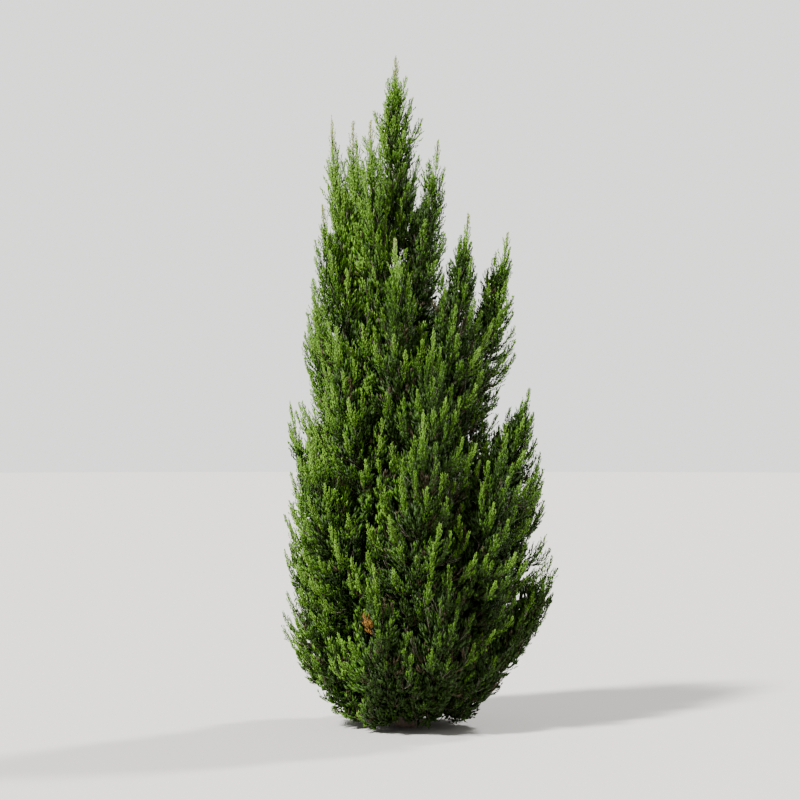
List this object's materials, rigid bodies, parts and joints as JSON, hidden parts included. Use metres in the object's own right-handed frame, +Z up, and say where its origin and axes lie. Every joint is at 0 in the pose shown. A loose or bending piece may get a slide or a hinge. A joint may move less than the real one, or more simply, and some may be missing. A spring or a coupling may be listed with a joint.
{
  "type": "columnar juniper",
  "caption": "Whole columnar juniper tree: one trunk, steep boughs and pointed plumes of dense scale-leaf foliage that reach down to the ground.",
  "frame": {"origin": "middle of the flat cut under the trunk, at ground level", "axes": "+Z up along the trunk, -Y towards the side that the picture shows, +X to that view's right"},
  "size_m": [1.3345, 1.3084, 3.2],
  "materials": {
    "bark": "rough stringy bark",
    "twig": "matte",
    "foliage": "matte, small scale leaves",
    "young_foliage": "matte, fresh growth at the spray tips",
    "inner_foliage": "matte, shaded inner growth",
    "dry_foliage": "matte, dead spray"
  },
  "bodies": {
    "root": {"bough_lower_1": "bark", "bough_lower_2": "bark", "bough_lower_3": "bark", "bough_lower_4": "bark", "bough_lower_5": "bark", "bough_lower_6": "bark", "bough_lower_7": "bark", "bough_middle_1": "bark", "bough_middle_2": "bark", "bough_middle_3": "bark", "bough_middle_4": "bark", "bough_middle_5": "bark", "bough_middle_6": "bark", "bough_skirt_1": "bark", "bough_skirt_2": "bark", "bough_skirt_3": "bark", "bough_skirt_4": "bark", "bough_skirt_5": "bark", "bough_skirt_6": "bark", "bough_skirt_7": "bark", "bough_upper_1": "bark", "bough_upper_2": "bark", "bough_upper_3": "bark", "bough_upper_4": "bark", "bough_upper_5": "bark", "bough_upper_6": "bark", "plume_leader": "foliage", "plume_lower_1": "foliage", "plume_lower_2": "foliage", "plume_lower_3": "foliage", "plume_lower_4": "foliage", "plume_lower_5": "foliage", "plume_lower_6": "foliage", "plume_lower_7": "foliage", "plume_middle_1": "foliage", "plume_middle_2": "foliage", "plume_middle_3": "foliage", "plume_middle_4": "foliage", "plume_middle_5": "foliage", "plume_middle_6": "foliage", "plume_skirt_1": "foliage", "plume_skirt_2": "foliage", "plume_skirt_3": "foliage", "plume_skirt_4": "foliage", "plume_skirt_5": "foliage", "plume_skirt_6": "foliage", "plume_skirt_7": "foliage", "plume_top_1": "foliage", "plume_top_2": "foliage", "plume_top_3": "foliage", "plume_top_4": "foliage", "plume_top_5": "foliage", "plume_upper_1": "foliage", "plume_upper_2": "foliage", "plume_upper_3": "foliage", "plume_upper_4": "foliage", "plume_upper_5": "foliage", "plume_upper_6": "foliage", "trunk": "bark"}
  },
  "joints": []
}
